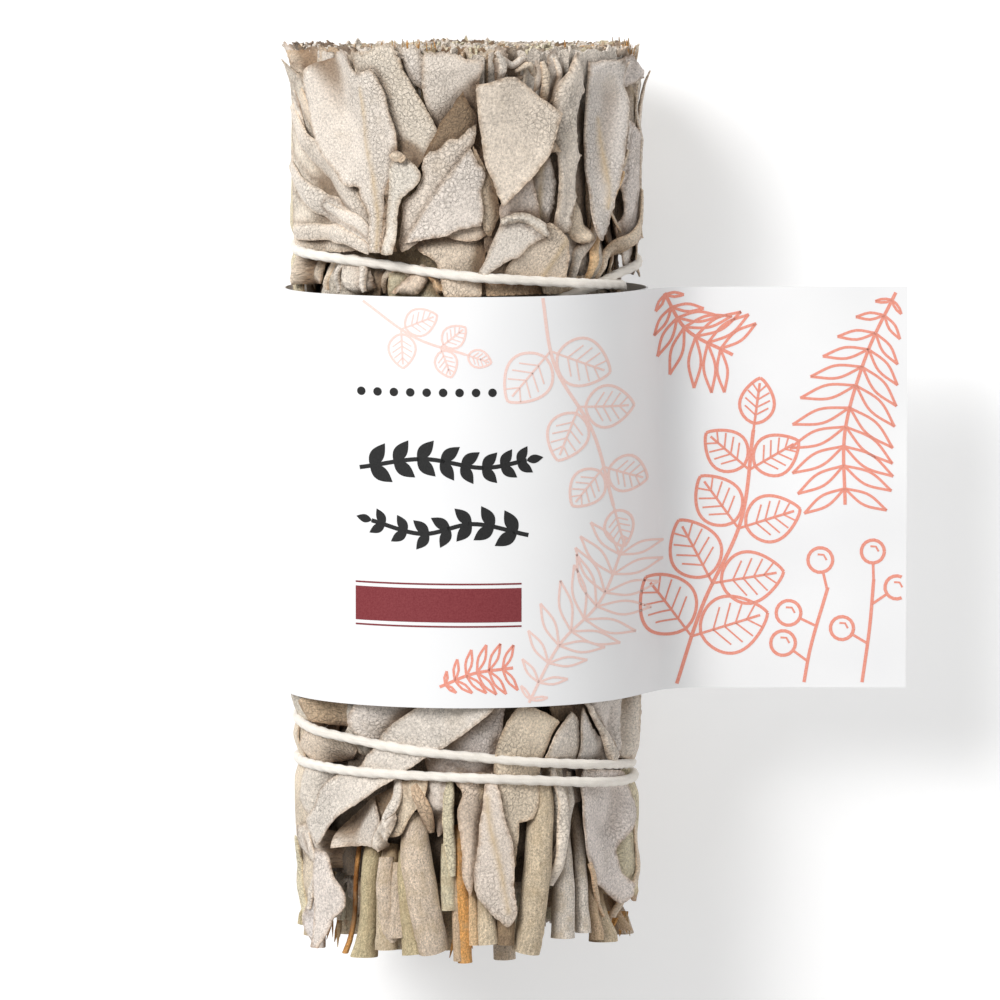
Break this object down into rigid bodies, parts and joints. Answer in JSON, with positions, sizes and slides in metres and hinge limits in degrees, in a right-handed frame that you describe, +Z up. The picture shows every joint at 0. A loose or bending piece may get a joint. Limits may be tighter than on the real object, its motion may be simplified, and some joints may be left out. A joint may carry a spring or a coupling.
{
  "type": "sage bunch",
  "caption": "Bundle of dried white sage, wound with cotton string, in a paper sleeve whose free end stands out to one side.",
  "frame": {"origin": "centre of the flat strip under the sleeve, on which the bundle lies", "axes": "+Y along the bundle, from the cut stems to the cut leafy end; +Z up, towards the pictured front; +X towards the sleeve's free end"},
  "size_m": [0.0753, 0.1085, 0.0432],
  "materials": {
    "sage_leaf": "matte felted dried leaf",
    "cotton_string": "matte twisted cotton",
    "sleeve_paper": "smooth uncoated white paper"
  },
  "bodies": {
    "root": {"leafy_stem_outer_01": "sage_leaf", "leafy_stem_outer_02": "sage_leaf", "leafy_stem_outer_03": "sage_leaf", "leafy_stem_outer_04": "sage_leaf", "leafy_stem_outer_05": "sage_leaf", "leafy_stem_outer_06": "sage_leaf", "leafy_stem_outer_07": "sage_leaf", "leafy_stem_outer_08": "sage_leaf", "leafy_stem_outer_09": "sage_leaf", "leafy_stem_outer_10": "sage_leaf", "leafy_stem_outer_11": "sage_leaf", "leafy_stem_outer_12": "sage_leaf", "leafy_stem_inner_01": "sage_leaf", "leafy_stem_inner_02": "sage_leaf", "leafy_stem_inner_03": "sage_leaf", "leafy_stem_inner_04": "sage_leaf", "leafy_stem_inner_05": "sage_leaf", "leafy_stem_inner_06": "sage_leaf", "leafy_stem_inner_07": "sage_leaf", "string": "cotton_string", "paper_sleeve": "sleeve_paper"}
  },
  "joints": []
}
